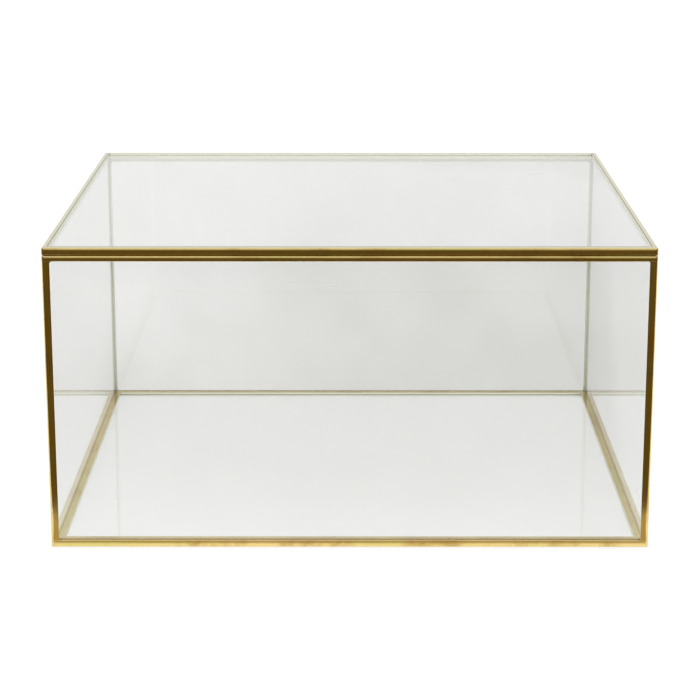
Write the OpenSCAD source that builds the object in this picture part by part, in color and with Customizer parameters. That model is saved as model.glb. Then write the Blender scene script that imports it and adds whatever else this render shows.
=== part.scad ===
// Glass casket box: clear panes in a soldered brass frame, with a lid on two small
// hinges at the back. Millimetres, +Z up. The front is at -Y. The origin is under the
// middle of the closed box and its hinges, on the surface that it stands on.

/* [Box] */
// Width over the brass, left to right
box_w = 300; // [180:1:420]
// Depth over the brass, front to back, without the hinges
box_d = 250; // [120:1:320]
// Height of the closed box
box_h = 155; // [70:1:240]

/* [Glass] */
// Thickness of every pane
glass_t = 2; // [1.8:0.1:3]
// Film of clear adhesive between a pane and the brass that holds it
bed_t = 0.1; // [0.05:0.05:0.3]
// Room between a pane's edge and the bottom of its channel
pane_gap = 0.2; // [0.1:0.05:0.5]
// Gap between the edges of two wall panes where they meet in a corner
wall_gap = 0.1; // [0.05:0.05:0.3]

/* [Brass frame] */
// Wall thickness of the brass channels and angles
brass_t = 0.8; // [0.6:0.1:1]
// Width of a corner post's two legs
post_leg = 4; // [3.6:0.1:7]
// Height of the rim's outer leg, round the top of the walls
rim_leg = 3; // [2.8:0.1:5]
// How far the rim's flat top reaches past the inside of the glass
rim_lip = 0.3; // [0:0.1:0.8]
// Width of the base channel's ledge that shows inside the walls
base_ledge = 3.3; // [2:0.1:6]
// Width of the lid channel's two flanges
lid_flange = 3.2; // [2.4:0.1:5]
// Radius of the long rounded edges of the rails
edge_r = 1.2; // [0.6:0.1:1.4]
// Radius of the small rounded edge where lid and rim, or base and post, meet
foot_r = 0.4; // [0.2:0.1:0.6]
// Radius of the four upright corners
corner_r = 1.5; // [0.8:0.1:1.8]
// Width of a solder joint in a mitred corner
solder_w = 0.3; // [0.2:0.05:0.5]

/* [Lid and hinges] */
// Gap between the closed lid and the rim
lid_gap = 0.2; // [0.1:0.05:0.4]
// Angle at which the hinges stop the open lid
open_angle = 105; // [95:1:112]
// Length of a hinge
hinge_l = 25; // [18:1:40]
// Distance from the box's side to the near end of a hinge
hinge_inset = 5; // [4:0.5:40]
// Outer radius of a hinge knuckle
knuckle_r = 1.5; // [1.4:0.05:1.6]
// Gap between two knuckles along the pin
knuckle_gap = 0.2; // [0.1:0.05:0.4]
// Clearance between a knuckle and what turns round it
knuckle_clear = 0.3; // [0.2:0.05:0.4]
// Thickness of a hinge leaf
leaf_t = 0.6; // [0.5:0.05:0.8]
// Margin of rim that shows below a box leaf
leaf_margin = 0.2; // [0.1:0.05:0.4]
// Radius of the hinge pin
pin_r = 0.7; // [0.5:0.05:0.8]
// Radial clearance of the pin in its knuckles
pin_play = 0.05; // [0.02:0.01:0.08]
// Radius of the pin's peened ends
pin_head_r = 1.1; // [1:0.05:1.3]
// Height of the pin's peened ends
pin_head_h = 0.5; // [0.3:0.05:0.8]
// How far the stop heel reaches behind the hinge axis
heel_reach = 2.2; // [2:0.05:2.4]
// Clearance left at the stop when the lid is fully open
stop_play = 0.05; // [0.02:0.01:0.1]

/* [Hidden] */
$fn = 48;
CUT = 1;

BRASS = "#b3913f";
RIM_BRASS = "#9c7a33";
SOLDER = "#b9b096";
GLASS = [0.86, 0.92, 0.89, 0.35];
PIN_BRASS = "#8f7436";

// Sides of the box in order, each a quarter turn on from the one before
SIDES = ["front", "right", "back", "left"];
// Angle of a mitred joint
MITRE = 45;

// Thickness of brass, adhesive and glass together: the inside of every wall
wall_in = brass_t + bed_t + glass_t;
// Height of a channel that holds a pane flat
channel_h = 2 * (brass_t + bed_t) + glass_t;
base_w = wall_in + base_ledge;
rim_w = wall_in + rim_lip;
lid_z = box_h - channel_h;
rim_top = lid_z - lid_gap;
post_z = channel_h;
post_h = rim_top - rim_leg - post_z;
wall_h = rim_top - brass_t - bed_t - channel_h;

// The hinge axis lies behind the box, level with the gap under the lid
axis_off = knuckle_r + knuckle_clear;
hinge_z = rim_top + lid_gap / 2;
hinge_x = box_w / 2 - hinge_inset - hinge_l / 2;
hinge_reach = axis_off + heel_reach;
knuckle_l = (hinge_l - 2 * knuckle_gap) / 3;
knuckle_step = knuckle_l + knuckle_gap;
// Height, from the axis, at which a leaf is clear of the other leaf's knuckles
leaf_notch = sqrt(pow(axis_off, 2) - pow(axis_off - leaf_t, 2));
box_leaf_foot = -lid_gap / 2 - rim_leg + leaf_margin;
box_leaf_top = -lid_gap / 2 - foot_r;
lid_leaf_foot = lid_gap / 2 + foot_r;
lid_leaf_top = lid_gap / 2 + channel_h - edge_r;
// Height of the heel that meets the lid's leaf at the open angle
heel_top = (axis_off - leaf_t - stop_play + heel_reach * cos(open_angle)) / sin(open_angle);

function turns(side) = search([side], SIDES)[0];
function side_before(side) = SIDES[(turns(side) + len(SIDES) - 1) % len(SIDES)];
function runs_across(side) = side == "front" || side == "back";
function side_length(side) = runs_across(side) ? box_w : box_d;
function side_reach(side) = (runs_across(side) ? box_d : box_w) / 2;

// Everything is drawn round the middle of the box, then moved forward so that the
// origin is under the middle of box and hinges together.
module in_frame() {
    translate([0, -hinge_reach / 2, 0]) children();
}

// Places a piece on one side: X runs along the side, Y inward from its outer face.
module on_side(side) {
    rotate([0, 0, 90 * turns(side)]) translate([0, -side_reach(side), 0]) children();
}

// Places a piece on the corner at the left end of a side, legs along the two sides.
module on_corner(side) {
    on_side(side) translate([-side_length(side) / 2, 0, 0]) children();
}

// ---- Outlines ----

// What a rounded corner of radius r takes off the square corner at the origin.
module corner_waste(r) {
    difference() {
        translate([-CUT, -CUT]) square(r + CUT);
        translate([r, r]) circle(r);
    }
}

// Section of a bar, outer face on the left, with its two outer edges rounded.
module bar_section(w, h, top_r, bottom_r) {
    difference() {
        square([w, h]);
        corner_waste(bottom_r);
        translate([0, h]) mirror([0, 1]) corner_waste(top_r);
    }
}

// Section of a channel that holds a pane flat in its slot.
module channel_section(w, top_r, bottom_r) {
    difference() {
        bar_section(w, channel_h, top_r, bottom_r);
        translate([brass_t, brass_t]) square([w, channel_h - 2 * brass_t]);
    }
}

// Section of the angle that caps the walls: outer leg down, flat top inward.
module rim_section() {
    difference() {
        bar_section(rim_w, rim_leg, edge_r, foot_r);
        translate([brass_t, -CUT]) square([rim_w, rim_leg - brass_t + CUT]);
    }
}

// Plan of the box with its rounded upright corners.
module box_plan() {
    difference() {
        square([box_w, box_d], center = true);
        for (side = SIDES) on_corner(side) corner_waste(corner_r);
    }
}

// ---- Brass pieces ----

// One rail of a mitred frame. The section comes as a child. gap is what the mitres
// leave for the solder.
module rail(side, w, h, gap = solder_w) {
    half = side_length(side) / 2 - gap / (2 * sin(MITRE));
    intersection() {
        on_side(side) rotate([90, 0, 90])
            linear_extrude(side_length(side), center = true) children();
        on_side(side) linear_extrude(h)
            polygon([[-half, 0], [half, 0], [half - w, w], [-half + w, w]]);
        linear_extrude(h) box_plan();
    }
}

// Solder in the four mitres of a frame: what the rails would hold there if they met.
module mitre_solder(w, h) {
    for (side = SIDES) {
        intersection() {
            union() {
                rail(side, w, h, 0) children();
                rail(side_before(side), w, h, 0) children();
            }
            on_corner(side) rotate([0, 0, MITRE])
                translate([-CUT, -solder_w / 2, -CUT])
                    cube([2 * w + CUT, solder_w, h + 2 * CUT]);
        }
    }
}

module base_rail(side) {
    color(BRASS) in_frame()
        rail(side, base_w, channel_h) channel_section(base_w, foot_r, edge_r);
}

module rim_rail(side) {
    color(RIM_BRASS) in_frame() translate([0, 0, rim_top - rim_leg])
        rail(side, rim_w, rim_leg) rim_section();
}

module lid_rail(side) {
    color(BRASS) in_frame() translate([0, 0, lid_z])
        rail(side, lid_flange, channel_h) channel_section(lid_flange, edge_r, foot_r);
}

// A corner post is an angle with a rounded back, standing between base and rim.
module post(side) {
    color(BRASS) in_frame() translate([0, 0, post_z]) on_corner(side)
        linear_extrude(post_h) difference() {
            square(post_leg);
            corner_waste(corner_r);
            translate([brass_t, brass_t]) square(post_leg);
        }
}

module base_front_rail() base_rail("front");
module base_back_rail() base_rail("back");
module base_left_rail() base_rail("left");
module base_right_rail() base_rail("right");

module rim_front() rim_rail("front");
module rim_back() rim_rail("back");
module rim_left() rim_rail("left");
module rim_right() rim_rail("right");

module lid_front_rail() lid_rail("front");
module lid_back_rail() lid_rail("back");
module lid_left_rail() lid_rail("left");
module lid_right_rail() lid_rail("right");

module front_left_post() post("front");
module front_right_post() post("right");
module back_right_post() post("back");
module back_left_post() post("left");

module base_corner_solder() {
    color(SOLDER) in_frame()
        mitre_solder(base_w, channel_h) channel_section(base_w, foot_r, edge_r);
}

module rim_corner_solder() {
    color(SOLDER) in_frame() translate([0, 0, rim_top - rim_leg])
        mitre_solder(rim_w, rim_leg) rim_section();
}

module lid_corner_solder() {
    color(SOLDER) in_frame() translate([0, 0, lid_z])
        mitre_solder(lid_flange, channel_h) channel_section(lid_flange, edge_r, foot_r);
}

// ---- Panes ----

// A pane that lies flat in the channels of a frame whose underside is at z.
module flat_pane(z) {
    inset = brass_t + pane_gap;
    color(GLASS) in_frame()
        translate([-box_w / 2 + inset, -box_d / 2 + inset, z + brass_t + bed_t])
            cube([box_w - 2 * inset, box_d - 2 * inset, glass_t]);
}

// An upright pane on one side. It stops short of both corners by end_gap.
module wall_pane(side, end_gap) {
    length = side_length(side) - 2 * end_gap;
    color(GLASS) in_frame() on_side(side)
        translate([-length / 2, brass_t + bed_t, channel_h]) cube([length, glass_t, wall_h]);
}

module base_glass() flat_pane(0);
module lid_glass() flat_pane(lid_z);
module front_glass() wall_pane("front", brass_t + bed_t);
module back_glass() wall_pane("back", brass_t + bed_t);
module left_glass() wall_pane("left", wall_in + wall_gap);
module right_glass() wall_pane("right", wall_in + wall_gap);

// ---- Hinges ----
// Each is drawn about its own axis: X along the pin, Y away from the box. Its middle
// knuckle belongs to the lid and its two outer knuckles to the box.

// end is -1 for the left hinge and 1 for the right one.
module on_hinge(end) {
    in_frame() translate([end * hinge_x, box_d / 2 + axis_off, hinge_z]) children();
}

// A block as long as one knuckle, over the given ranges of Y and Z.
module knuckle_block(x, y, z) {
    translate([x - knuckle_l / 2, y[0], z[0]]) cube([knuckle_l, y[1] - y[0], z[1] - z[0]]);
}

module knuckle(x) {
    translate([x - knuckle_l / 2, 0, 0]) rotate([0, 90, 0]) cylinder(r = knuckle_r, h = knuckle_l);
}

// The strip of a leaf that runs the hinge's whole length, clear of every knuckle.
module leaf_strip(z0, z1) {
    translate([-hinge_l / 2, -axis_off, z0]) cube([hinge_l, leaf_t, z1 - z0]);
}

module pin_bore() {
    translate([-hinge_l / 2 - CUT, 0, 0]) rotate([0, 90, 0])
        cylinder(r = pin_r + pin_play, h = hinge_l + 2 * CUT);
}

// Strip soldered to the rim, its two knuckles and the heels that stop the open lid.
module box_leaf(end) {
    color(BRASS) on_hinge(end) difference() {
        union() {
            leaf_strip(box_leaf_foot, -leaf_notch);
            for (x = [-knuckle_step, knuckle_step]) {
                knuckle(x);
                knuckle_block(x, [-axis_off, -axis_off + leaf_t], [box_leaf_foot, box_leaf_top]);
                knuckle_block(x, [-axis_off, 0], [-knuckle_r, box_leaf_top]);
                knuckle_block(x, [0, heel_reach], [-knuckle_r, heel_top]);
            }
        }
        pin_bore();
    }
}

// Strip soldered to the lid's back rail, with one knuckle.
module lid_leaf(end) {
    color(BRASS) on_hinge(end) difference() {
        union() {
            leaf_strip(leaf_notch, lid_leaf_top);
            knuckle(0);
            knuckle_block(0, [-axis_off, -axis_off + leaf_t], [lid_leaf_foot, lid_leaf_top]);
            knuckle_block(0, [-axis_off, 0], [lid_leaf_foot, knuckle_r]);
        }
        pin_bore();
    }
}

// A peened end: a shallow dome whose sphere is worked out from its radius and height.
module pin_head() {
    dome_r = (pow(pin_head_r, 2) + pow(pin_head_h, 2)) / (2 * pin_head_h);
    intersection() {
        translate([0, 0, pin_head_h - dome_r]) sphere(dome_r);
        cylinder(r = pin_head_r + CUT, h = pin_head_h + CUT);
    }
}

module hinge_pin(end) {
    length = hinge_l + 2 * pin_play;
    color(PIN_BRASS) on_hinge(end) rotate([0, 90, 0]) {
        cylinder(r = pin_r, h = length, center = true);
        for (turn = [0, 180]) rotate([turn, 0, 0]) translate([0, 0, length / 2]) pin_head();
    }
}

module left_hinge_box_leaf() box_leaf(-1);
module left_hinge_lid_leaf() lid_leaf(-1);
module left_hinge_pin() hinge_pin(-1);
module right_hinge_box_leaf() box_leaf(1);
module right_hinge_lid_leaf() lid_leaf(1);
module right_hinge_pin() hinge_pin(1);

// ---- What is drawn ----

base_glass();
front_glass();
back_glass();
left_glass();
right_glass();
lid_glass();
base_front_rail();
base_back_rail();
base_left_rail();
base_right_rail();
front_left_post();
front_right_post();
back_left_post();
back_right_post();
rim_front();
rim_back();
rim_left();
rim_right();
lid_front_rail();
lid_back_rail();
lid_left_rail();
lid_right_rail();
base_corner_solder();
rim_corner_solder();
lid_corner_solder();
left_hinge_box_leaf();
left_hinge_lid_leaf();
left_hinge_pin();
right_hinge_box_leaf();
right_hinge_lid_leaf();
right_hinge_pin();
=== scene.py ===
"""Looks of a glass casket box: brass, solder, clear panes and their clear seams, with
the pale floor and soft light that it is shown in. Metres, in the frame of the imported
part, which is loaded first and keeps every shape and place it came with."""

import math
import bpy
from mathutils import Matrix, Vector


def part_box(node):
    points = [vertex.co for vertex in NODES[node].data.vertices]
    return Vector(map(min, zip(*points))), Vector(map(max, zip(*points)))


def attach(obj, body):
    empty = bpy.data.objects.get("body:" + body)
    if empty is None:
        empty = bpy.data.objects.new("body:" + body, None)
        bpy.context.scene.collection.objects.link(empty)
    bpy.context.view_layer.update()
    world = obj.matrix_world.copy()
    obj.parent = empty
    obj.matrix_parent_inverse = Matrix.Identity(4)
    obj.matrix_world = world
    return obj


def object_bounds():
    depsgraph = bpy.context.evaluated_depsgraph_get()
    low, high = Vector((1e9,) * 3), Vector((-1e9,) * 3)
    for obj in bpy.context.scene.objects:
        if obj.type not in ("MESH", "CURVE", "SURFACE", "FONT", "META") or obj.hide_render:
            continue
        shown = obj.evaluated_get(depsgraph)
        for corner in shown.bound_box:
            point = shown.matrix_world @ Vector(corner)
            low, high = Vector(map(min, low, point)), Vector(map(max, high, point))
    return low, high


bl_info = {
    "name": "Glass Casket Box",
    "version": (1, 0, 0),
    "blender": (4, 5, 0),
    "location": "3D View > Sidebar > Casket",
    "description": "Dresses a hinged glass and brass casket box and sets its stage",
    "category": "Object",
}

import bmesh
import bpy
from bpy.props import FloatProperty, FloatVectorProperty, PointerProperty
from bpy.types import Operator, Panel, PropertyGroup
from mathutils import Vector, noise

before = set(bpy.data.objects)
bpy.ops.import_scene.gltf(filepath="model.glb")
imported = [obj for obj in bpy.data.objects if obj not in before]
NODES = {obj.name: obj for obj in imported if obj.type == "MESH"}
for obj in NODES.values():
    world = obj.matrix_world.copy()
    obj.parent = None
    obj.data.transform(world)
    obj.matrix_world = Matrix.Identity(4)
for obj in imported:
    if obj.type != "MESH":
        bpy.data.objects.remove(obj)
CAD_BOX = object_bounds()

MM = 0.001

# Beads stand this far off the faces that they lie in, so that no two faces coincide.
BEAD_CLEARANCE = 0.03 * MM
# The reach of a bead wanders over this length.
WOBBLE_LENGTH = 5 * MM
# The brass faces that look inward all lie farther than this from the box's middle.
MIDDLE_REACH = 80 * MM
# The painted shade on the panes grows to the right and to the back and thins upward, per
# metre.
SHADE_SLOPE = (2, 6.3, -4.5)
# The floor as it is mirrored, from one distance to another: where the light beside the
# box begins, from its middle; then, before its front, where the lit sheet ends, where
# the dark floor begins, and over what the floor that glass mirrors fades.
SIDE_LIGHT = (154 * MM, 162 * MM)
SHEET_EDGE = (5.3 * MM, 6.8 * MM)
DARK_EDGE = (42 * MM, 56 * MM)
GLASS_FADE = (-50 * MM, 130 * MM)
FLOOR_REACH = 4
FLOOR_DROP = 0.05 * MM

WHITE = (1, 1, 1, 1)

# The brass's rounded outer edge, and the gap of adhesive between pane and brass.
ROUNDED_EDGE = 0.4 * MM
PANE_GAP = 0.1 * MM
# The painted shade under the walls turns from the front one's colour to that of the others
# over this length, just behind the front pane.
LINE_CHANGE = 12 * MM
# The painted shade on the panes begins this far above the base pane. Pale streaks lie this
# far under the rim, give or take half the width of their band.
SHADE_START_HEIGHT = 0.4 * MM
STREAKS_BELOW_RIM = 8 * MM
STREAKS_HALF_BAND = 7 * MM
# Solder beside a post starts and ends this far in from its outer face. Solder beside a
# hinge leaf runs this far from the leaf's end, and stops short of the knuckles.
POST_BEAD = (0.12 * MM, 0.75 * MM)
LEAF_BEAD = {"box": 1.9 * MM, "lid": 2.1 * MM}

LAMP_PLACE = (-0.15, 0.05, 1.3)
LAMP_SIZE = (1.4, 1.0)

PANES = [n for n in NODES if n.endswith("_glass")]
HINGE_PARTS = [n for n in NODES if "hinge" in n]
MITRES = [n for n in NODES if n.endswith("_solder")]
RAILS = [n for n in NODES if n not in PANES + HINGE_PARTS + MITRES]
POSTS = [n for n in RAILS if n.endswith("_post")]


def linear(hex_colour):
    """The linear red, green and blue of an sRGB colour written as #rrggbb."""
    parts = [int(hex_colour[i : i + 2], 16) / 255 for i in (1, 3, 5)]
    return [p / 12.92 if p <= 0.04045 else ((p + 0.055) / 1.055) ** 2.4 for p in parts]


def colour(name, description, hex_colour):
    return FloatVectorProperty(
        name=name,
        description=description,
        subtype="COLOR",
        size=3,
        min=0,
        max=1,
        default=linear(hex_colour),
    )


def length(name, description, millimetres):
    return FloatProperty(
        name=name,
        description=description,
        unit="LENGTH",
        precision=5,
        min=0.01 * MM,
        default=millimetres * MM,
    )


def share(name, description, default):
    return FloatProperty(
        name=name, description=description, subtype="FACTOR", min=0, max=1, default=default
    )


# ---- Settings ----


class CasketGlassSettings(PropertyGroup):
    edge: colour("Edge", "Cut edges, where light comes far through the glass", "#B9CDBD")
    # The colour of the thin pale streaks in a band under the rim of the panes.
    streaked: colour("Wiped film", "Dried film left where a pane was wiped", "#F4F4F0")
    clean: colour("Clean glass", "What a clean pane lets through", "#FAFAF9")
    # Painted shade: a grey tint on the panes that stands in for the uneven shade seen
    # through them.
    shaded_glass: colour("Handled film", "What a hand-marked patch lets through", "#DDDDDA")
    through: colour("Lamplight", "Lamplight once it has passed through a pane", "#FEFFFE")
    # The size of the thin pale streaks under the rim.
    pale_streak_width: length("Wipe width", "Width of a wipe mark on a pane", 1.0)
    pale_streak_length: length("Wipe length", "Length of a wipe mark on a pane", 26)
    # Size of the patches of painted shade on the panes.
    cloud_size: length("Cloud size", "Size of the soft patches left by handling", 75)


class CasketBrassSettings(PropertyGroup):
    polished: colour("Polished", "Bare polished brass", "#F6DB92")
    tarnished: colour("Tarnished", "Brass that has begun to turn brown", "#C4944A")
    olive: colour("Olive", "Brass under streaks of thicker, aged lacquer", "#DCD57A")
    rubbed: colour("Rubbed", "Brass rubbed pale along its rounded edges", "#E6C878")
    # Flat tops: the pale colour painted on faces that look up, a painted reflection of the
    # light they mirror.
    flat: colour("Flat tops", "Flat top faces, filed and rubbed pale", "#DCD8B4")
    # Painted shade along the foot of the walls: light and golden under the front pane, dark
    # olive under the others.
    foot_line: colour("Foot line", "Line where the front pane stands on brass", "#D9A452")
    shaded_line: colour("Aged line", "The same line under the other walls", "#847A4C")
    # The colour of a dark line along the inner edge of the lid's frame, beside its pane.
    step_line: colour("Step line", "Grimy inner edge of the lid's flat frame", "#7E7A58")
    bonded: colour("Bonded", "Inner faces under a film of clear adhesive", "#F8F6E8")
    hinge: colour("Hinge", "Satin brass of the hinges", "#CFA968")
    hinge_grime: colour("Hinge grime", "Brown in the low places of the hinges", "#8A6636")
    roughness: share("Roughness", "Roughness of the polished strip", 0.16)
    patch_size: length("Patch size", "Size of a patch of tarnish", 24)
    speck_size: length("Speck size", "Size of a worn speck on a rubbed edge", 1.4)
    streak_width: length("Streak width", "Width of the streaks of aged lacquer", 3.5)
    streak_length: length("Streak length", "Length of the streaks of aged lacquer", 90)
    scratch_width: length("Scratch width", "Width of the polishing marks", 0.35)
    scratch_length: length("Scratch length", "Length of the polishing marks", 40)
    # Width of the dark line along the inner edge of the lid's frame.
    step_width: length("Step width", "Width of the grimy edge beside the lid's pane", 0.8)
    wave_size: length("Wave size", "Length of the waves in the folded strip", 16)
    grime_size: length("Grime size", "Size of a patch of grime on a hinge", 3)
    grain_size: length("Grain size", "Size of the satin grain of a hinge", 0.3)


class CasketSolderSettings(PropertyGroup):
    filled: colour("Solder", "Brass-coloured solder, filed flush", "#E6D2A2")
    dull: colour("Dull solder", "Low places of the solder that the file missed", "#B99A5E")
    lump_size: length("Lump size", "Size of the lumps on a soldered joint", 0.9)
    fillet: length("Fillet", "Reach of the solder in the corners of the frame", 0.8)
    hinge_fillet: length("Hinge fillet", "Reach of the solder round a hinge leaf", 0.4)


class CasketSeamSettings(PropertyGroup):
    cured: colour("Cured", "Cured clear adhesive, warm from the brass under it", "#F8F0D8")
    aged: colour("Aged", "Adhesive that has begun to yellow", "#EADFBE")
    reach: length("Reach", "Reach of the seam up each pane", 0.4)
    bubble_size: length("Bubble size", "Size of the small bubbles", 1.2)
    ripple_size: length("Ripple size", "Size of the milky clouds along the seam", 2.5)
    clearness: share("Clearness", "How much light the seam lets through", 0.85)


class CasketStageSettings(PropertyGroup):
    floor: colour("Floor", "Pale floor and backdrop", "#F2F2F0")
    floor_shade: colour("Floor shade", "The floor's white that shadow dims", "#999999")
    floor_glow: share("Floor glow", "The floor's white that stays in shadow", 0.72)
    dim_floor: colour("Dim floor", "Half-lit floor that the front mirrors", "#B4A178")
    far_floor: colour("Far floor", "Unlit floor that the front mirrors", "#5B4A20")
    camera_place: FloatVectorProperty(
        name="Camera",
        description="Place of the camera",
        subtype="TRANSLATION",
        unit="LENGTH",
        precision=4,
        default=(0.0017, -1.0421, 0.3737),
    )
    camera_pitch: FloatProperty(
        name="Pitch",
        description="How far the camera looks down",
        subtype="ANGLE",
        default=math.radians(13.152),
    )
    camera_turn: FloatProperty(
        name="Turn",
        description="How far the camera is turned to the left",
        subtype="ANGLE",
        default=math.radians(0.096),
    )
    lens: FloatProperty(
        name="Lens", description="Focal length in millimetres", default=99.8
    )
    lens_shift: FloatProperty(
        name="Shift", description="Shift of the lens, which frames the box", default=-0.16
    )
    mirrored_level: share("Mirrored level", "Far end of the floor that glass mirrors", 0.1)
    world_level: share("World level", "Plain light from all round", 0.95)
    front_level: share("Front level", "Mirrored studio on the camera's side", 0.45)
    back_level: share("Back level", "Mirrored studio behind the box", 0.86)
    top_level: share("Top level", "Mirrored studio overhead", 0.92)
    lamp_power: FloatProperty(
        name="Lamp power",
        description="Power of the lamp overhead",
        unit="POWER",
        default=3.0,
    )


# ---- Node and mesh helpers ----


def add_node(tree, kind, inputs=(), **settings):
    """Adds a shader node, sets its settings, and fills or links its inputs."""
    node = tree.nodes.new("ShaderNode" + kind)
    for name, value in settings.items():
        setattr(node, name, value)
    for name, value in dict(inputs).items():
        if isinstance(value, bpy.types.NodeSocket):
            tree.links.new(value, node.inputs[name])
        else:
            node.inputs[name].default_value = value
    return node


def new_material(name):
    material = bpy.data.materials.new(name)
    material.use_nodes = True
    material.node_tree.nodes.clear()
    return material, material.node_tree


def close_material(tree, surface):
    add_node(tree, "OutputMaterial", {"Surface": surface})


def per(size):
    """Scale of a pattern whose marks are this size in metres."""
    return 1 / size


def rgba(rgb):
    return (*rgb, 1)


def spans(node_name):
    """How far a node reaches along each axis."""
    low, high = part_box(node_name)
    return list(high - low)


def dress(node_name, material):
    for material_slot in NODES[node_name].material_slots:
        material_slot.material = material


def add_piece(name, mesh, body, material):
    """Makes an object of a bmesh, and has it ride on a body and wear a slot's finish."""
    bmesh.ops.recalc_face_normals(mesh, faces=mesh.faces)
    data = bpy.data.meshes.new(name)
    mesh.to_mesh(data)
    mesh.free()
    for polygon in data.polygons:
        polygon.use_smooth = True
    data.materials.append(material)
    piece = bpy.data.objects.new(name, data)
    bpy.context.scene.collection.objects.link(piece)
    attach(piece, body)
    return piece


def loft(mesh, rings):
    """Closes a run of rings, each a list of points, into one solid."""
    rows = [[mesh.verts.new(point) for point in ring] for ring in rings]
    count = len(rows[0])
    for before, after in zip(rows, rows[1:]):
        for i in range(count):
            j = (i + 1) % count
            mesh.faces.new((before[i], before[j], after[j], after[i]))
    mesh.faces.new(rows[0])
    mesh.faces.new(rows[-1])


def uneven(point, size, seed):
    """A smooth number from -1 to 1 that varies over this size."""
    return noise.noise(Vector(point) / size + Vector((seed, seed * 1.7, seed * 0.3)))


def add_fillet(mesh, start, end, along_u, along_v, reach, wobble=0.2, seed=0, step=2 * MM):
    """A bead from start to end in the inside corner of two faces that leave it along u
    and v. Its face is hollow, as a liquid leaves it, and its reach wanders by wobble."""
    start, end, u, v = map(Vector, (start, end, along_u, along_v))
    clear = (u + v) * BEAD_CLEARANCE
    start, end = start + clear, end + clear
    runs = max(2, math.ceil((end - start).length / step))
    rings = []
    for i in range(runs + 1):
        corner = start.lerp(end, i / runs)
        r = reach * (1 + wobble * uneven(corner, WOBBLE_LENGTH, seed))
        arc = [math.radians(a) for a in range(0, 91, 18)]
        rings.append(
            [corner]
            + [corner + u * (r - r * math.sin(a)) + v * (r - r * math.cos(a)) for a in arc]
        )
    loft(mesh, rings)


# ---- Materials ----


def drawn_out(tree, place, sizes, detail):
    """Noise whose marks have these sizes along x, y and z."""
    scaled = add_node(
        tree, "Mapping", {"Vector": place, "Scale": [per(size) for size in sizes]}
    )
    return add_node(
        tree, "TexNoise", {"Vector": scaled.outputs[0], "Scale": 1, "Detail": detail}
    ).outputs["Fac"]


def polished_brass(axis, brass):
    """Brass strip, folded, soldered and polished along its length by hand, under thin
    lacquer. The eye sees a bright warm mirror with fine marks along each rail, soft
    waves, olive streaks, brown patches of tarnish and paler metal on its edges. Its flat
    tops are pale with painted reflection, a dark line runs beside the lid's pane, and
    painted shade lies along the foot of the walls."""
    material, tree = new_material("polished_brass_" + "xyz"[axis])
    at = add_node(tree, "TexCoord")
    place, normal = at.outputs["Object"], at.outputs["Normal"]

    tarnish, browned = tarnished(tree, axis, place, brass)
    # The worn brass, with painted reflection on its flat tops and painted shade along the
    # foot of the walls.
    worn = wear_and_painted_light(tree, place, normal, browned, brass)
    bonded = bonded_faces(tree, place, normal)
    final = add_node(
        tree, "Mix", {0: bonded, 6: worn, 7: rgba(brass.bonded)}, data_type="RGBA"
    ).outputs[2]
    metallic = add_node(
        tree, "Math", {0: 1.0, 1: bonded}, operation="SUBTRACT"
    ).outputs[0]

    # Polishing marks run along the rail. The real ones are some 0.03 mm wide, too fine
    # to show, so they are drawn at the scratch width, as fine as the picture shows.
    sizes = [brass.scratch_length if i == axis else brass.scratch_width for i in range(3)]
    marks = drawn_out(tree, place, sizes, 3)
    rough = add_node(
        tree,
        "MapRange",
        {
            "Value": marks,
            "From Min": 0.3,
            "From Max": 0.7,
            "To Min": brass.roughness * 0.7,
            "To Max": brass.roughness * 1.4,
        },
    ).outputs[0]
    dulled = add_node(
        tree, "Math", {0: tarnish, 1: 0.14, 2: rough}, operation="MULTIPLY_ADD"
    ).outputs[0]
    roughness = add_node(
        tree, "Mix", {0: bonded, 2: dulled, 3: 0.6}, data_type="FLOAT"
    ).outputs[0]

    waves = add_node(
        tree, "TexNoise", {"Vector": place, "Scale": per(brass.wave_size), "Detail": 1}
    ).outputs["Fac"]
    wavy = add_node(
        tree, "Bump", {"Height": waves, "Strength": 1, "Distance": 0.10 * MM}
    ).outputs[0]
    marked = add_node(
        tree,
        "Bump",
        {"Height": marks, "Strength": 1, "Distance": 0.006 * MM, "Normal": wavy},
    ).outputs[0]
    shader = add_node(
        tree,
        "BsdfPrincipled",
        {
            "Base Color": final,
            "Metallic": metallic,
            "Roughness": roughness,
            "Normal": marked,
            "Coat Weight": 0.2,
            "Coat Roughness": 0.06,
        },
    )
    close_material(tree, shader.outputs[0])
    return material


def tarnished(tree, axis, place, brass):
    """How far tarnish has come, and the colour of the brass with it and with streaks of
    lacquer along the axis."""
    patches = add_node(
        tree,
        "TexNoise",
        {"Vector": place, "Scale": per(brass.patch_size), "Detail": 5, "Roughness": 0.62},
    ).outputs["Fac"]
    tarnish = add_node(
        tree,
        "MapRange",
        {"Value": patches, "From Min": 0.46, "From Max": 0.7, "To Max": 0.7},
        interpolation_type="SMOOTHSTEP",
    ).outputs[0]
    sizes = [brass.streak_length if i == axis else brass.streak_width for i in range(3)]
    lacquered = add_node(
        tree,
        "MapRange",
        {
            "Value": drawn_out(tree, place, sizes, 2),
            "From Min": 0.42,
            "From Max": 0.6,
            "To Max": 0.5,
        },
        interpolation_type="SMOOTHSTEP",
    ).outputs[0]
    toned = add_node(
        tree,
        "Mix",
        {0: lacquered, 6: rgba(brass.polished), 7: rgba(brass.olive)},
        data_type="RGBA",
    ).outputs[2]
    browned = add_node(
        tree,
        "Mix",
        {0: tarnish, 6: toned, 7: rgba(brass.tarnished)},
        data_type="RGBA",
    ).outputs[2]
    return tarnish, browned


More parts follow.
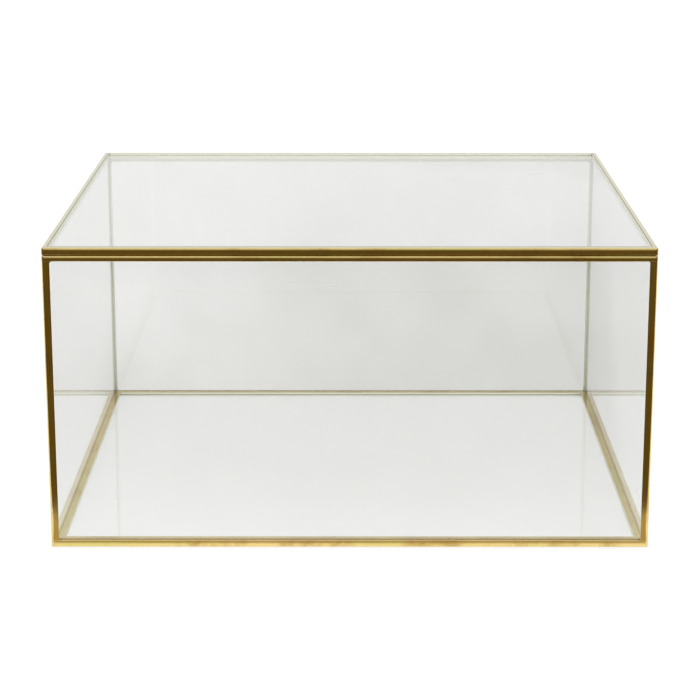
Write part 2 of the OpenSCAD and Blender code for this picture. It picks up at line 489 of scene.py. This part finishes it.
def wear_and_painted_light(tree, place, normal, metal, brass):
    """The colour of the metal with what hands have done to its rounded edges, with a
    painted reflection that makes the flat tops pale, painted shade along the foot of the
    walls, and a dark line beside the lid's pane."""
    # Hands rub the rounded edges, where the surface faces between two directions.
    steep = add_node(tree, "VectorMath", {0: normal}, operation="ABSOLUTE").outputs[0]
    facing = add_node(tree, "SeparateXYZ", {0: steep})
    widest = add_node(
        tree, "Math", {0: facing.outputs["X"], 1: facing.outputs["Y"]}, operation="MAXIMUM"
    ).outputs[0]
    straight = add_node(
        tree, "Math", {0: widest, 1: facing.outputs["Z"]}, operation="MAXIMUM"
    ).outputs[0]
    edge = add_node(
        tree,
        "MapRange",
        {"Value": straight, "From Min": 0.98, "From Max": 0.8},
        interpolation_type="SMOOTHSTEP",
    ).outputs[0]
    specks = add_node(
        tree, "TexNoise", {"Vector": place, "Scale": per(brass.speck_size), "Detail": 2}
    ).outputs["Fac"]
    speckled = add_node(
        tree,
        "MapRange",
        {"Value": specks, "From Min": 0.4, "From Max": 0.62, "To Max": 0.75},
    ).outputs[0]
    rubbed = add_node(tree, "Math", {0: edge, 1: speckled}, operation="MULTIPLY").outputs[0]
    worn = add_node(
        tree, "Mix", {0: rubbed, 6: metal, 7: rgba(brass.rubbed)}, data_type="RGBA"
    ).outputs[2]

    # Painted reflection: faces that look up are painted pale for the light they mirror, and
    # those of the lid palest.
    spot = add_node(tree, "SeparateXYZ", {0: place})
    upward = add_node(tree, "SeparateXYZ", {0: normal}).outputs["Z"]
    flat = add_node(
        tree,
        "MapRange",
        {"Value": upward, "From Min": 0.5, "From Max": 0.95},
        interpolation_type="SMOOTHSTEP",
    ).outputs[0]
    paler = add_node(
        tree,
        "MapRange",
        {
            "Value": spot.outputs["Z"],
            "From Min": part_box("lid_front_rail")[0].z,
            "From Max": CAD_BOX[1].z,
            "To Min": 0.4,
        },
    ).outputs[0]
    top = add_node(tree, "Math", {0: flat, 1: paler}, operation="MULTIPLY").outputs[0]
    # The brass with the painted reflection on its flat tops.
    filed = add_node(
        tree, "Mix", {0: top, 6: worn, 7: rgba(brass.flat)}, data_type="RGBA"
    ).outputs[2]

    step = beside_lid_pane(tree, place, flat, brass.step_width)
    edged = add_node(
        tree, "Mix", {0: step, 6: filed, 7: rgba(brass.step_line)}, data_type="RGBA"
    ).outputs[2]
    # Painted shade along the foot of the walls, golden under the front pane and dark olive
    # behind it.
    behind = add_node(
        tree,
        "MapRange",
        {
            "Value": spot.outputs["Y"],
            "From Min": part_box("front_glass")[1].y,
            "From Max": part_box("front_glass")[1].y + LINE_CHANGE,
        },
    ).outputs[0]
    line = add_node(
        tree,
        "Mix",
        {0: behind, 6: rgba(brass.foot_line), 7: rgba(brass.shaded_line)},
        data_type="RGBA",
    ).outputs[2]
    return add_node(
        tree,
        "Mix",
        {0: under_panes(tree, place, upward), 6: edged, 7: line},
        data_type="RGBA",
    ).outputs[2]


def aside_of(tree, place, centre):
    """How far a place lies to either side of a centre, along x and along y."""
    offset = add_node(
        tree, "VectorMath", {0: place, 1: (centre.x, centre.y, 0)}, operation="SUBTRACT"
    ).outputs[0]
    return add_node(tree, "VectorMath", {0: offset}, operation="ABSOLUTE").outputs[0]


def beside_lid_pane(tree, place, flat, width):
    """1 on the top of the lid frame along its inner edge, beside the pane, where the frame
    is drawn darker."""
    low = Vector((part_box("lid_left_rail")[1].x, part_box("lid_front_rail")[1].y))
    high = Vector((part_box("lid_right_rail")[0].x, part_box("lid_back_rail")[0].y))
    centre, half = (low + high) / 2, (high - low) / 2
    past = add_node(
        tree,
        "VectorMath",
        {0: aside_of(tree, place, centre), 1: (*half, 0)},
        operation="SUBTRACT",
    ).outputs[0]
    parts = add_node(tree, "SeparateXYZ", {0: past})
    farther = add_node(
        tree, "Math", {0: parts.outputs["X"], 1: parts.outputs["Y"]}, operation="MAXIMUM"
    ).outputs[0]
    near = add_node(
        tree,
        "MapRange",
        {
            "Value": farther,
            "From Min": width * 0.7,
            "From Max": width,
            "To Min": 1,
            "To Max": 0,
        },
    ).outputs[0]
    height = add_node(tree, "SeparateXYZ", {0: place}).outputs["Z"]
    on_lid = add_node(
        tree, "Math", {0: height, 1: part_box("lid_glass")[1].z}, operation="GREATER_THAN"
    ).outputs[0]
    level = add_node(tree, "Math", {0: flat, 1: on_lid}, operation="MULTIPLY").outputs[0]
    return add_node(tree, "Math", {0: near, 1: level}, operation="MULTIPLY").outputs[0]


def under_panes(tree, place, upward):
    """1 on the top of the base frame where the wall panes stand, where painted shade
    lies."""
    low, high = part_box("base_front_rail")[0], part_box("base_back_rail")[1]
    centre = (low + high) / 2
    parts = add_node(tree, "SeparateXYZ", {0: aside_of(tree, place, centre)})
    bands = []
    for i, pane in enumerate(("right_glass", "back_glass")):
        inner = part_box(pane)[0][i] - centre[i]
        outer = high[i] - centre[i] - ROUNDED_EDGE
        bands.append(
            add_node(
                tree,
                "Math",
                {0: parts.outputs[i], 1: (inner + outer) / 2, 2: (outer - inner) / 2},
                operation="COMPARE",
            ).outputs[0]
        )
    line = add_node(
        tree, "Math", {0: bands[0], 1: bands[1]}, operation="MAXIMUM"
    ).outputs[0]
    height = add_node(tree, "SeparateXYZ", {0: place}).outputs["Z"]
    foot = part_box("right_glass")[0].z
    at_foot = add_node(
        tree, "Math", {0: height, 1: foot, 2: PANE_GAP}, operation="COMPARE"
    ).outputs[0]
    level = add_node(tree, "Math", {0: upward, 1: at_foot}, operation="MULTIPLY").outputs[0]
    return add_node(tree, "Math", {0: line, 1: level}, operation="MULTIPLY").outputs[0]


def bonded_faces(tree, place, normal):
    """1 on the faces of the brass that wear a film of adhesive: those that look inward,
    and those inside the slots for base and lid."""
    looks = add_node(
        tree, "VectorMath", {0: normal, 1: place}, operation="MULTIPLY"
    ).outputs[0]
    parts = add_node(tree, "SeparateXYZ", {0: looks})
    masks = [
        add_node(
            tree, "Math", {0: parts.outputs[side], 1: -MIDDLE_REACH}, operation="LESS_THAN"
        ).outputs[0]
        for side in ("X", "Y")
    ]
    height = add_node(tree, "SeparateXYZ", {0: place}).outputs["Z"]
    steep = add_node(tree, "VectorMath", {0: normal}, operation="ABSOLUTE").outputs[0]
    steepness = add_node(tree, "SeparateXYZ", {0: steep}).outputs["Z"]
    level = add_node(
        tree, "Math", {0: steepness, 1: 0.9}, operation="GREATER_THAN"
    ).outputs[0]
    for pane in ("base_glass", "lid_glass", "rim"):
        if pane == "rim":
            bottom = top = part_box("front_glass")[1].z + PANE_GAP
        else:
            bottom, top = (corner.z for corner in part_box(pane))
        within = add_node(
            tree,
            "Math",
            {0: height, 1: (bottom + top) / 2, 2: (top - bottom) / 2 + 1.5 * PANE_GAP},
            operation="COMPARE",
        ).outputs[0]
        masks.append(
            add_node(tree, "Math", {0: within, 1: level}, operation="MULTIPLY").outputs[0]
        )
    bonded = masks[0]
    for mask in masks[1:]:
        bonded = add_node(
            tree, "Math", {0: bonded, 1: mask}, operation="MAXIMUM"
        ).outputs[0]
    return bonded


def satin_brass(brass):
    """Small stamped brass hinge, never polished and browned with age. The eye sees a
    soft satin gleam, darker than the frame, with grime in its low places."""
    material, tree = new_material("satin_brass")
    place = add_node(tree, "TexCoord").outputs["Object"]
    grime = add_node(
        tree,
        "TexNoise",
        {"Vector": place, "Scale": per(brass.grime_size), "Detail": 5, "Roughness": 0.6},
    ).outputs["Fac"]
    grain = add_node(
        tree, "TexNoise", {"Vector": place, "Scale": per(brass.grain_size), "Detail": 2}
    ).outputs["Fac"]
    amount = add_node(
        tree,
        "MapRange",
        {"Value": grime, "From Min": 0.45, "From Max": 0.7, "To Max": 0.7},
        interpolation_type="SMOOTHSTEP",
    ).outputs[0]
    base = add_node(
        tree,
        "Mix",
        {0: amount, 6: rgba(brass.hinge), 7: rgba(brass.hinge_grime)},
        data_type="RGBA",
    ).outputs[2]
    roughness = add_node(
        tree,
        "MapRange",
        {"Value": grime, "From Min": 0.3, "From Max": 0.7, "To Min": 0.24, "To Max": 0.44},
    ).outputs[0]
    bump = add_node(
        tree, "Bump", {"Height": grain, "Strength": 1, "Distance": 0.012 * MM}
    ).outputs[0]
    shader = add_node(
        tree,
        "BsdfPrincipled",
        {"Base Color": base, "Metallic": 1, "Roughness": roughness, "Normal": bump},
    )
    close_material(tree, shader.outputs[0])
    return material


def filed_solder(solder):
    """Brass-coloured solder, run into the joints and filed flush. The eye sees it a
    little paler and duller than the brass, faintly lumpy, with file marks."""
    material, tree = new_material("filed_solder")
    place = add_node(tree, "TexCoord").outputs["Object"]
    lumps = add_node(
        tree, "TexNoise", {"Vector": place, "Scale": per(solder.lump_size), "Detail": 3}
    ).outputs["Fac"]
    base = add_node(
        tree,
        "Mix",
        {0: lumps, 6: rgba(solder.filled), 7: rgba(solder.dull)},
        data_type="RGBA",
    ).outputs[2]
    roughness = add_node(
        tree,
        "MapRange",
        {"Value": lumps, "From Min": 0.3, "From Max": 0.7, "To Min": 0.2, "To Max": 0.42},
    ).outputs[0]
    bump = add_node(
        tree, "Bump", {"Height": lumps, "Strength": 1, "Distance": 0.05 * MM}
    ).outputs[0]
    shader = add_node(
        tree,
        "BsdfPrincipled",
        {"Base Color": base, "Metallic": 1, "Roughness": roughness, "Normal": bump},
    )
    close_material(tree, shader.outputs[0])
    return material


def lets_lamps_through(tree, shader, colour_through, wetted):
    """The shader, but plainly clear where it is wetted, to lamps, and to light that is
    on its way between dull surfaces, so that what stands in or behind it is lit."""
    path = add_node(tree, "LightPath")
    unlit = add_node(
        tree,
        "Math",
        {0: path.outputs["Is Shadow Ray"], 1: path.outputs["Is Diffuse Ray"]},
        operation="MAXIMUM",
    ).outputs[0]
    plain = add_node(tree, "Math", {0: unlit, 1: wetted}, operation="MAXIMUM").outputs[0]
    clear = add_node(tree, "BsdfTransparent", {"Color": colour_through}).outputs[0]
    return add_node(tree, "MixShader", {0: plain, 1: shader, 2: clear}).outputs[0]


def float_glass(axis, glass):
    """Clear soda-lime float glass, 2 mm along the axis, cut by hand. The eye sees a
    bright sheet, faintly grey, greener at its cut edges, with soft grey patches of
    painted shade and a few thin pale streaks high on the panes."""
    material, tree = new_material("float_glass_" + "xyz"[axis])
    at = add_node(tree, "TexCoord")
    place = at.outputs["Object"]
    clouds = add_node(
        tree, "TexNoise", {"Vector": place, "Scale": per(glass.cloud_size), "Detail": 2}
    ).outputs["Fac"]
    # Painted shade, a grey tint that stands in for the uneven shade seen through the panes,
    # lies thickest low on the back pane and towards the right. The base and the top of the
    # walls are nearly clear of it.
    height = add_node(tree, "SeparateXYZ", {0: place}).outputs["Z"]
    spread = add_node(
        tree, "VectorMath", {0: place, 1: SHADE_SLOPE}, operation="DOT_PRODUCT"
    ).outputs["Value"]
    patchy = add_node(
        tree, "Math", {0: clouds, 1: 0.9, 2: spread}, operation="MULTIPLY_ADD"
    ).outputs[0]
    shade_depth = add_node(
        tree, "MapRange", {"Value": patchy, "From Min": 0.29, "From Max": 1.29}
    ).outputs[0]
    base_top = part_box("base_glass")[1].z
    off_base = add_node(
        tree, "Math", {0: height, 1: base_top + SHADE_START_HEIGHT}, operation="GREATER_THAN"
    ).outputs[0]
    shade_amount = add_node(tree, "Math", {0: shade_depth, 1: off_base}, operation="MULTIPLY").outputs[0]
    # The clean glass colour, darkened by painted shade.
    film = add_node(
        tree,
        "Mix",
        {0: shade_amount, 6: rgba(glass.clean), 7: rgba(glass.shaded_glass)},
        data_type="RGBA",
    ).outputs[2]
    steep = add_node(
        tree, "VectorMath", {0: at.outputs["Normal"]}, operation="ABSOLUTE"
    ).outputs[0]
    sheet = add_node(tree, "SeparateXYZ", {0: steep}).outputs[axis]
    tint = add_node(
        tree, "Mix", {0: sheet, 6: rgba(glass.edge), 7: film}, data_type="RGBA"
    ).outputs[2]

    # Pale streaks of a dull white film run sideways, in a band under the rim.
    sizes = (glass.pale_streak_length, glass.pale_streak_length, glass.pale_streak_width)
    streak_noise = drawn_out(tree, place, sizes, 1)
    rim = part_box("front_glass")[1].z
    high_up = add_node(
        tree,
        "Math",
        {0: height, 1: rim - STREAKS_BELOW_RIM, 2: STREAKS_HALF_BAND},
        operation="COMPARE",
    ).outputs[0]
    streak_marks = add_node(
        tree,
        "MapRange",
        {"Value": streak_noise, "From Min": 0.72, "From Max": 0.84, "To Max": 0.3},
        interpolation_type="SMOOTHSTEP",
    ).outputs[0]
    streaked = add_node(
        tree, "Math", {0: streak_marks, 1: high_up}, operation="MULTIPLY"
    ).outputs[0]

    pane = add_node(
        tree,
        "BsdfPrincipled",
        {
            "Base Color": tint,
            "Roughness": 0.0,
            "IOR": 1.52,
            "Transmission Weight": 1,
        },
    ).outputs[0]
    streak_shader = add_node(
        tree, "BsdfDiffuse", {"Color": rgba(glass.streaked), "Roughness": 0.5}
    ).outputs[0]
    marked = add_node(tree, "MixShader", {0: streaked, 1: pane, 2: streak_shader}).outputs[0]

    # Adhesive wets the foot of a wall pane, so light passes from glass to brass there
    # without a bend. The base and the lid have no such foot.
    downward = add_node(tree, "SeparateXYZ", {0: at.outputs["Normal"]}).outputs["Z"]
    foot = add_node(
        tree, "Math", {0: downward, 1: -0.9 if axis < 2 else -2.0}, operation="LESS_THAN"
    ).outputs[0]
    close_material(tree, lets_lamps_through(tree, marked, rgba(glass.through), foot))
    return material


def clear_adhesive(seam):
    """Clear silicone adhesive, run into the joints of the panes and smoothed. The eye
    sees a thin soft line, a little milky, with small bubbles."""
    material, tree = new_material("clear_adhesive")
    place = add_node(tree, "TexCoord").outputs["Object"]
    bubbles = add_node(
        tree, "TexVoronoi", {"Vector": place, "Scale": per(seam.bubble_size)}
    ).outputs["Distance"]
    ripple = add_node(
        tree, "TexNoise", {"Vector": place, "Scale": per(seam.ripple_size), "Detail": 2}
    ).outputs["Fac"]
    milky = add_node(
        tree,
        "Mix",
        {0: ripple, 6: rgba(seam.cured), 7: rgba(seam.aged)},
        data_type="RGBA",
    ).outputs[2]
    bump = add_node(
        tree, "Bump", {"Height": bubbles, "Strength": 0.6, "Distance": 0.1 * MM}
    ).outputs[0]
    shader = add_node(
        tree,
        "BsdfPrincipled",
        {
            "Base Color": milky,
            "Roughness": 0.25,
            "IOR": 1.41,
            "Alpha": 1 - seam.clearness,
            "Normal": bump,
        },
    ).outputs[0]
    close_material(tree, shader)
    return material


# ---- Operators ----


class CASKET_OT_glaze(Operator):
    """Gives the six panes their clear float glass"""

    bl_idname = "casket.glaze"
    bl_label = "Glaze the panes"

    def execute(self, context):
        panes = [float_glass(axis, context.scene.casket_glass) for axis in range(3)]
        for name in PANES:
            size = spans(name)
            dress(name, panes[size.index(min(size))])
        return {"FINISHED"}


class CASKET_OT_polish(Operator):
    """Gives the rails, posts and rim brass that is polished along each one's length"""

    bl_idname = "casket.polish"
    bl_label = "Polish the frame"

    def execute(self, context):
        finishes = [polished_brass(axis, context.scene.casket_brass) for axis in range(3)]
        for name in RAILS:
            size = spans(name)
            dress(name, finishes[size.index(max(size))])
        return {"FINISHED"}


class CASKET_OT_hinges(Operator):
    """Gives the hinge leaves and pins their satin brass"""

    bl_idname = "casket.hinges"
    bl_label = "Finish the hinges"

    def execute(self, context):
        brass = satin_brass(context.scene.casket_brass)
        for name in HINGE_PARTS:
            dress(name, brass)
        return {"FINISHED"}


class CASKET_OT_solder(Operator):
    """Finishes the soldered mitres, and adds the solder at post ends and hinge leaves"""

    bl_idname = "casket.solder"
    bl_label = "Solder the joints"

    def execute(self, context):
        settings = context.scene.casket_solder
        finish = filed_solder(settings)
        for name in MITRES:
            dress(name, finish)
        self.solder_posts(settings, finish)
        self.solder_hinges(settings, finish)
        return {"FINISHED"}

    def solder_posts(self, settings, finish):
        mesh = bmesh.new()
        for number, name in enumerate(sorted(POSTS)):
            low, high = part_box(name)
            side_x, side_y = math.copysign(1, low.x), math.copysign(1, low.y)
            x_ends = (high.x, low.x) if side_x < 0 else (low.x, high.x)
            y_ends = (high.y, low.y) if side_y < 0 else (low.y, high.y)
            inner, outer = (Vector(corner) for corner in zip(x_ends, y_ends))
            for z, up in ((low.z, 1), (high.z, -1)):
                seed = number * 2 + up
                # A joint's solder reaches up to half as far again, or half as far less.
                reach = settings.fillet * (1 + 0.5 * uneven(inner.to_3d(), 90 * MM, seed))
                face, back = POST_BEAD
                for start, end, u in (
                    (
                        (inner.x, outer.y - side_y * face, z),
                        (inner.x, outer.y - side_y * back, z),
                        (-side_x, 0, 0),
                    ),
                    (
                        (outer.x - side_x * face, inner.y, z),
                        (outer.x - side_x * back, inner.y, z),
                        (0, -side_y, 0),
                    ),
                ):
                    add_fillet(
                        mesh,
                        start,
                        end,
                        u,
                        (0, 0, up),
                        reach,
                        wobble=0.3,
                        seed=seed,
                        step=0.2 * MM,
                    )
        add_piece("post_solder", mesh, "box", finish)

    def solder_hinges(self, settings, finish):
        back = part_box("rim_back")[1].y
        for leaf, body in (("box_leaf", "box"), ("lid_leaf", "lid")):
            mesh = bmesh.new()
            for number, side in enumerate(("left", "right")):
                low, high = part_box(f"{side}_hinge_{leaf}")
                foot = low.z if body == "box" else high.z - LEAF_BEAD[body]
                top = low.z + LEAF_BEAD[body] if body == "box" else high.z
                for x, u in ((low.x, (-1, 0, 0)), (high.x, (1, 0, 0))):
                    add_fillet(
                        mesh,
                        (x, back, foot),
                        (x, back, top),
                        u,
                        (0, 1, 0),
                        settings.hinge_fillet,
                        wobble=0.35,
                        seed=number * 3 + x,
                        step=0.3 * MM,
                    )
            add_piece(f"hinge_solder_{body}", mesh, body, finish)


class CASKET_OT_seams(Operator):
    """Runs clear adhesive along the foot of the walls and up their inner corners"""

    bl_idname = "casket.seams"
    bl_label = "Seal the panes"

    def execute(self, context):
        settings = context.scene.casket_seam
        finish = clear_adhesive(settings)
        left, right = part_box("left_glass")[1].x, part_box("right_glass")[0].x
        front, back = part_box("front_glass")[1].y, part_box("back_glass")[0].y
        foot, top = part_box("left_glass")[0].z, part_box("left_glass")[1].z

        mesh = bmesh.new()
        for start, end, inward in (
            ((left, front), (right, front), (0, 1, 0)),
            ((left, back), (right, back), (0, -1, 0)),
            ((left, front), (left, back), (1, 0, 0)),
            ((right, front), (right, back), (-1, 0, 0)),
        ):
            add_fillet(
                mesh,
                (*start, foot),
                (*end, foot),
                inward,
                (0, 0, 1),
                settings.reach,
                wobble=0.25,
                seed=3,
            )
        add_piece("foot_seam", mesh, "box", finish)

        mesh = bmesh.new()
        for x, toward_x in ((left, 1), (right, -1)):
            for y, toward_y in ((front, 1), (back, -1)):
                add_fillet(
                    mesh,
                    (x, y, foot),
                    (x, y, top),
                    (toward_x, 0, 0),
                    (0, toward_y, 0),
                    settings.reach,
                    wobble=0.25,
                    seed=5,
                )
        add_piece("corner_seams", mesh, "box", finish)
        return {"FINISHED"}


class CASKET_OT_stage(Operator):
    """Lays the pale floor, lights it softly, and sets the camera"""

    bl_idname = "casket.stage"
    bl_label = "Set the stage"

    def execute(self, context):
        settings = context.scene.casket_stage
        self.lay_floor(settings)
        self.light_world(settings)
        self.hang_lamp(settings)
        self.set_camera(context, settings)
        context.scene.view_settings.view_transform = "Standard"
        return {"FINISHED"}

    def white_rays(self, tree):
        """Light Path, and 1 for the rays that show the floor and backdrop as white: those
        straight from the camera, and those that have only passed through glass."""
        path = add_node(tree, "LightPath")
        unmirrored = add_node(
            tree, "Math", {0: path.outputs["Glossy Depth"], 1: 0.5}, operation="LESS_THAN"
        ).outputs[0]
        through = add_node(
            tree,
            "Math",
            {0: path.outputs["Is Transmission Ray"], 1: unmirrored},
            operation="MULTIPLY",
        ).outputs[0]
        white = add_node(
            tree,
            "Math",
            {0: path.outputs["Is Camera Ray"], 1: through},
            operation="MAXIMUM",
        ).outputs[0]
        return path, white

    def mirrored_floor(self, tree, settings):
        """What brass mirrors: a floor that is lit beside and behind the box, with the
        front edge of the lit sheet close before it and dark floor beyond. Glass, whose
        mirror is sharp, would show those edges, so it mirrors a floor that fades."""
        place = add_node(tree, "NewGeometry").outputs["Position"]
        where = add_node(tree, "SeparateXYZ", {0: place})
        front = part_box("base_front_rail")[0].y
        before = add_node(
            tree, "Math", {0: front, 1: where.outputs["Y"]}, operation="SUBTRACT"
        ).outputs[0]
        aside = add_node(
            tree, "Math", {0: where.outputs["X"]}, operation="ABSOLUTE"
        ).outputs[0]
        beside = add_node(
            tree,
            "MapRange",
            {"Value": aside, "From Min": SIDE_LIGHT[0], "From Max": SIDE_LIGHT[1]},
        ).outputs[0]
        past_edge = add_node(
            tree,
            "MapRange",
            {"Value": before, "From Min": SHEET_EDGE[0], "From Max": SHEET_EDGE[1]},
        ).outputs[0]
        dimmed = add_node(
            tree, "Math", {0: past_edge, 1: beside}, operation="SUBTRACT", use_clamp=True
        ).outputs[0]
        near = add_node(
            tree,
            "Mix",
            {0: dimmed, 6: WHITE, 7: rgba(settings.dim_floor)},
            data_type="RGBA",
        ).outputs[2]
        dark = add_node(
            tree,
            "MapRange",
            {"Value": before, "From Min": DARK_EDGE[0], "From Max": DARK_EDGE[1]},
            interpolation_type="SMOOTHSTEP",
        ).outputs[0]
        sheet = add_node(
            tree,
            "Mix",
            {0: dark, 6: near, 7: rgba(settings.far_floor)},
            data_type="RGBA",
        ).outputs[2]
        fading = add_node(
            tree,
            "MapRange",
            {
                "Value": before,
                "From Min": GLASS_FADE[0],
                "From Max": GLASS_FADE[1],
                "To Min": 1,
                "To Max": settings.mirrored_level,
            },
            interpolation_type="SMOOTHSTEP",
        ).outputs[0]
        sharp = add_node(tree, "LightPath").outputs["Is Singular Ray"]
        seen = add_node(
            tree, "Mix", {0: sharp, 6: sheet, 7: fading}, data_type="RGBA"
        ).outputs[2]
        return add_node(tree, "Emission", {"Color": seen}).outputs[0]

    def lay_floor(self, settings):
        material, tree = new_material("pale_floor")
        path, white = self.white_rays(tree)
        plain = add_node(tree, "BsdfDiffuse", {"Color": rgba(settings.floor)}).outputs[0]
        shade = add_node(
            tree, "BsdfDiffuse", {"Color": rgba(settings.floor_shade)}
        ).outputs[0]
        glow = add_node(tree, "Emission", {"Strength": settings.floor_glow}).outputs[0]
        seen = add_node(tree, "AddShader", {0: shade, 1: glow}).outputs[0]
        dull = add_node(
            tree,
            "MixShader",
            {
                0: path.outputs["Is Glossy Ray"],
                1: plain,
                2: self.mirrored_floor(tree, settings),
            },
        ).outputs[0]
        surface = add_node(tree, "MixShader", {0: white, 1: dull, 2: seen}).outputs[0]
        close_material(tree, surface)

        mesh = bmesh.new()
        mesh.faces.new(
            mesh.verts.new((x * FLOOR_REACH, y * FLOOR_REACH, -FLOOR_DROP))
            for x, y in ((-1, -1), (1, -1), (1, 1), (-1, 1))
        )
        data = bpy.data.meshes.new("floor")
        mesh.to_mesh(data)
        mesh.free()
        data.materials.append(material)
        floor = bpy.data.objects.new("floor", data)
        bpy.context.scene.collection.objects.link(floor)

    def light_world(self, settings):
        world = bpy.data.worlds.new("soft_studio")
        world.use_nodes = True
        tree = world.node_tree
        tree.nodes.clear()
        path, white = self.white_rays(tree)
        direction = add_node(tree, "TexCoord").outputs["Generated"]
        parts = add_node(tree, "SeparateXYZ", {0: direction})
        # Mirrored, the studio is brightest overhead, a little darker behind the box, and
        # darker still on the camera's side.
        backward = add_node(
            tree,
            "MapRange",
            {
                "Value": parts.outputs["Y"],
                "From Min": -0.8,
                "From Max": 0.4,
                "To Min": settings.front_level,
                "To Max": settings.back_level,
            },
            interpolation_type="SMOOTHSTEP",
        ).outputs[0]
        upward = add_node(
            tree,
            "MapRange",
            {"Value": parts.outputs["Z"], "From Min": 0.4, "From Max": 0.95},
        ).outputs[0]
        mirrored = add_node(
            tree, "Mix", {0: upward, 2: backward, 3: settings.top_level}, data_type="FLOAT"
        ).outputs[0]
        level = add_node(
            tree,
            "Mix",
            {0: path.outputs["Is Glossy Ray"], 2: settings.world_level, 3: mirrored},
            data_type="FLOAT",
        ).outputs[0]
        strength = add_node(
            tree, "Mix", {0: white, 2: level, 3: 1.0}, data_type="FLOAT"
        ).outputs[0]
        backdrop = add_node(
            tree, "Background", {"Color": WHITE, "Strength": strength}
        ).outputs[0]
        add_node(tree, "OutputWorld", {"Surface": backdrop})
        bpy.context.scene.world = world

    def hang_lamp(self, settings):
        data = bpy.data.lights.new("overhead_lamp", "AREA")
        data.shape = "RECTANGLE"
        data.size, data.size_y = LAMP_SIZE
        data.energy = settings.lamp_power
        lamp = bpy.data.objects.new("overhead_lamp", data)
        lamp.location = LAMP_PLACE
        lamp.visible_glossy = False
        lamp.visible_transmission = False
        bpy.context.scene.collection.objects.link(lamp)

    def set_camera(self, context, settings):
        data = bpy.data.cameras.new("camera")
        data.lens = settings.lens
        data.shift_y = settings.lens_shift
        camera = bpy.data.objects.new("camera", data)
        camera.location = settings.camera_place
        camera.rotation_euler = (
            math.radians(90) - settings.camera_pitch,
            0,
            settings.camera_turn,
        )
        context.scene.collection.objects.link(camera)
        context.scene.camera = camera


OPERATORS = (
    CASKET_OT_polish,
    CASKET_OT_hinges,
    CASKET_OT_solder,
    CASKET_OT_glaze,
    CASKET_OT_seams,
    CASKET_OT_stage,
)
SETTINGS = {
    "casket_brass": CasketBrassSettings,
    "casket_solder": CasketSolderSettings,
    "casket_glass": CasketGlassSettings,
    "casket_seam": CasketSeamSettings,
    "casket_stage": CasketStageSettings,
}


class CASKET_PT_sidebar(Panel):
    """Lists the casket's settings and the steps that dress it"""

    bl_idname = "CASKET_PT_sidebar"
    bl_label = "Glass Casket Box"
    bl_space_type = "VIEW_3D"
    bl_region_type = "UI"
    bl_category = "Casket"

    def draw(self, context):
        for name in SETTINGS:
            settings = getattr(context.scene, name)
            box = self.layout.box()
            for prop in settings.__annotations__:
                box.prop(settings, prop)
        for operator in OPERATORS:
            self.layout.operator(operator.bl_idname)


def register():
    for settings in SETTINGS.values():
        bpy.utils.register_class(settings)
    for name, settings in SETTINGS.items():
        setattr(bpy.types.Scene, name, PointerProperty(type=settings))
    for operator in OPERATORS:
        bpy.utils.register_class(operator)
    bpy.utils.register_class(CASKET_PT_sidebar)


def unregister():
    bpy.utils.unregister_class(CASKET_PT_sidebar)
    for operator in reversed(OPERATORS):
        bpy.utils.unregister_class(operator)
    for name in SETTINGS:
        delattr(bpy.types.Scene, name)
    for settings in reversed(SETTINGS.values()):
        bpy.utils.unregister_class(settings)


def main():
    register()
    bpy.ops.casket.polish()
    bpy.ops.casket.hinges()
    bpy.ops.casket.solder()
    bpy.ops.casket.glaze()
    bpy.ops.casket.seams()
    bpy.ops.casket.stage()


if __name__ == "__main__":
    main()
